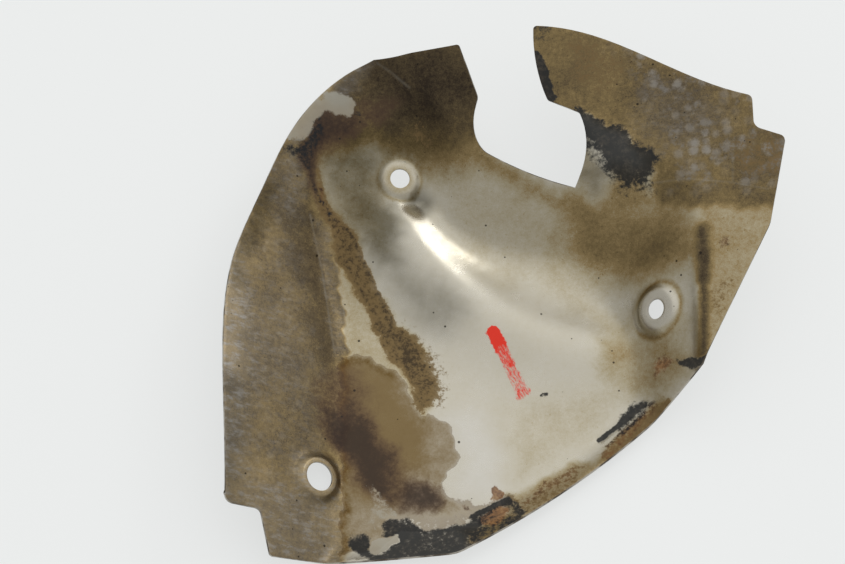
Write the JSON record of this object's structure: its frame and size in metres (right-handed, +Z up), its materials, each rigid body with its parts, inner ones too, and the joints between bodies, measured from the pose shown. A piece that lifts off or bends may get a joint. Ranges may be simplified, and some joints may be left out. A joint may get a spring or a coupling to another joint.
{
  "type": "exhaust heat shield",
  "caption": "Pressed thin steel heat shield: a double-curved hollow sheet with a ridge, a side step, a notch between tabs, a turned front lip and raised bolt seats.",
  "frame": {"origin": "on the ground, below the middle of the footprint's box, with the shield lying on its outer side", "axes": "+Z up, out of the hollow side; +Y from the turned front lip to the notch; +X from the plain wing to the stepped flange"},
  "size_m": [0.192, 0.1952, 0.0494],
  "materials": {
    "heat_tinted_steel": "bare steel, straw and brown from heat, with soot, rust and dirt"
  },
  "bodies": {
    "root": {"heat_shield": "heat_tinted_steel"}
  },
  "joints": []
}
